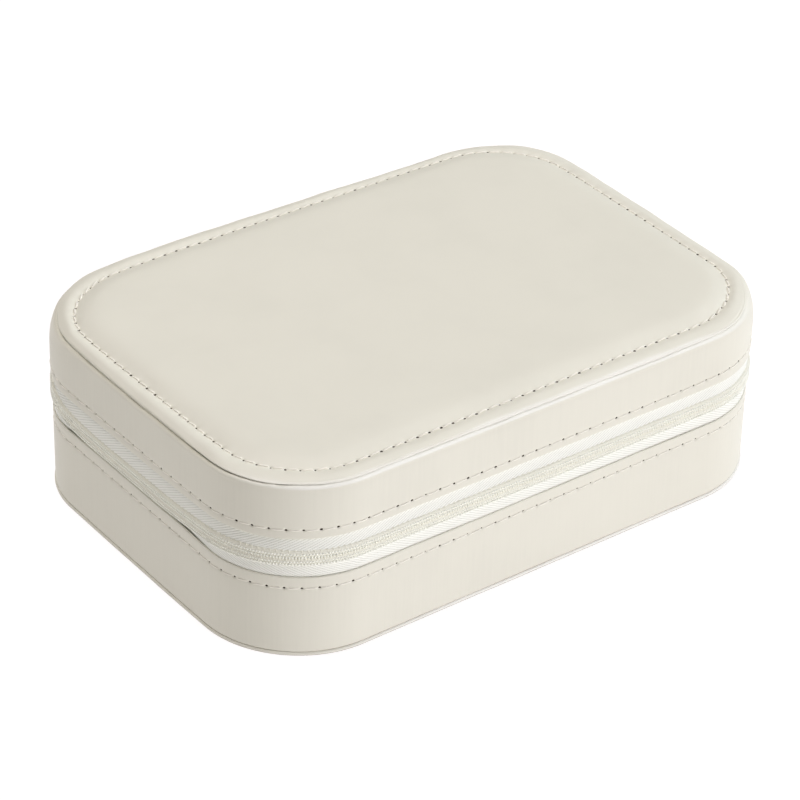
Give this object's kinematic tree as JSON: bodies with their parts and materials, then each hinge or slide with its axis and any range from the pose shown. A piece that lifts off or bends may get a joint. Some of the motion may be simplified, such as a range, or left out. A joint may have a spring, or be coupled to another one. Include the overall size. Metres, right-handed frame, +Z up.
{
  "type": "jewelry box",
  "caption": "Travel jewelry box with rounded corners: leather-covered base and padded, stitched lid, joined by a leather hinge strip and closed by a coil zip; lined inside.",
  "frame": {"origin": "middle of the underside of the bottom cover, where the shut box rests on a table", "axes": "+X along the long side to the right, +Y from the front to the hinge strip at the back, +Z up through the lid"},
  "size_m": [0.1631, 0.114, 0.0499],
  "materials": {
    "cream_leather": "satin",
    "grey_board": "matte",
    "suede_lining": "matte",
    "ring_roll_velvet": "matte",
    "zip_tape": "matte",
    "zip_coil": "satin",
    "foam": "matte",
    "pocket_cloth": "matte",
    "tab_leather": "satin",
    "gold_metal": "satin"
  },
  "bodies": {
    "base": {"bottom_cover": "cream_leather", "base_floor_board": "grey_board", "base_wall_board": "grey_board", "base_side_skin": "cream_leather", "base_wall_lining": "suede_lining", "base_floor_pad": "suede_lining", "lower_zip_tape": "zip_tape", "lower_zip_coil": "zip_coil", "hinge_strip": "cream_leather", "hinge_lining": "suede_lining", "left_partition": "suede_lining", "right_partition": "suede_lining", "ring_roll_base": "ring_roll_velvet", "ring_roll_1": "ring_roll_velvet", "ring_roll_2": "ring_roll_velvet", "ring_roll_3": "ring_roll_velvet", "ring_roll_4": "ring_roll_velvet"},
    "lid": {"lid_side_skin": "cream_leather", "lid_wall_board": "grey_board", "top_panel_board": "grey_board", "top_foam_pad": "foam", "top_cover": "cream_leather", "upper_zip_tape": "zip_tape", "upper_zip_coil": "zip_coil", "lid_wall_lining": "suede_lining", "lid_panel_lining": "suede_lining", "lid_pocket": "pocket_cloth", "pocket_elastic": "pocket_cloth", "necklace_tabs": "tab_leather", "tab_backing_strip": "tab_leather", "tab_snaps": "gold_metal"},
    "slider": {"zip_slider": "gold_metal"},
    "pull": {"zip_pull": "gold_metal"},
    "left_divider": {"left_divider": "suede_lining"},
    "right_divider": {"right_divider": "suede_lining"}
  },
  "joints": [
    {"name": "lid_hinge", "type": "hinge", "parent": "base", "child": "lid", "pos_m": [0, 0.057, 0.02755], "axis": [-1, 0, 0], "range_deg": [0, 110], "deforming": ["hinge_strip", "hinge_lining"]},
    {"name": "slider_travel", "type": "slide", "parent": "base", "child": "slider", "axis": [0, -1, 0], "range_m": [0, 0.044]},
    {"name": "pull_swing", "type": "hinge", "parent": "slider", "child": "pull", "pos_m": [0.08165, 0.022, 0.0281], "axis": [0, 0, 1], "range_deg": [0, 180]},
    {"name": "left_divider_lift", "type": "slide", "parent": "base", "child": "left_divider", "axis": [0, 0, 1], "range_m": [0, 0.018]},
    {"name": "right_divider_lift", "type": "slide", "parent": "base", "child": "right_divider", "axis": [0, 0, 1], "range_m": [0, 0.018]}
  ]
}
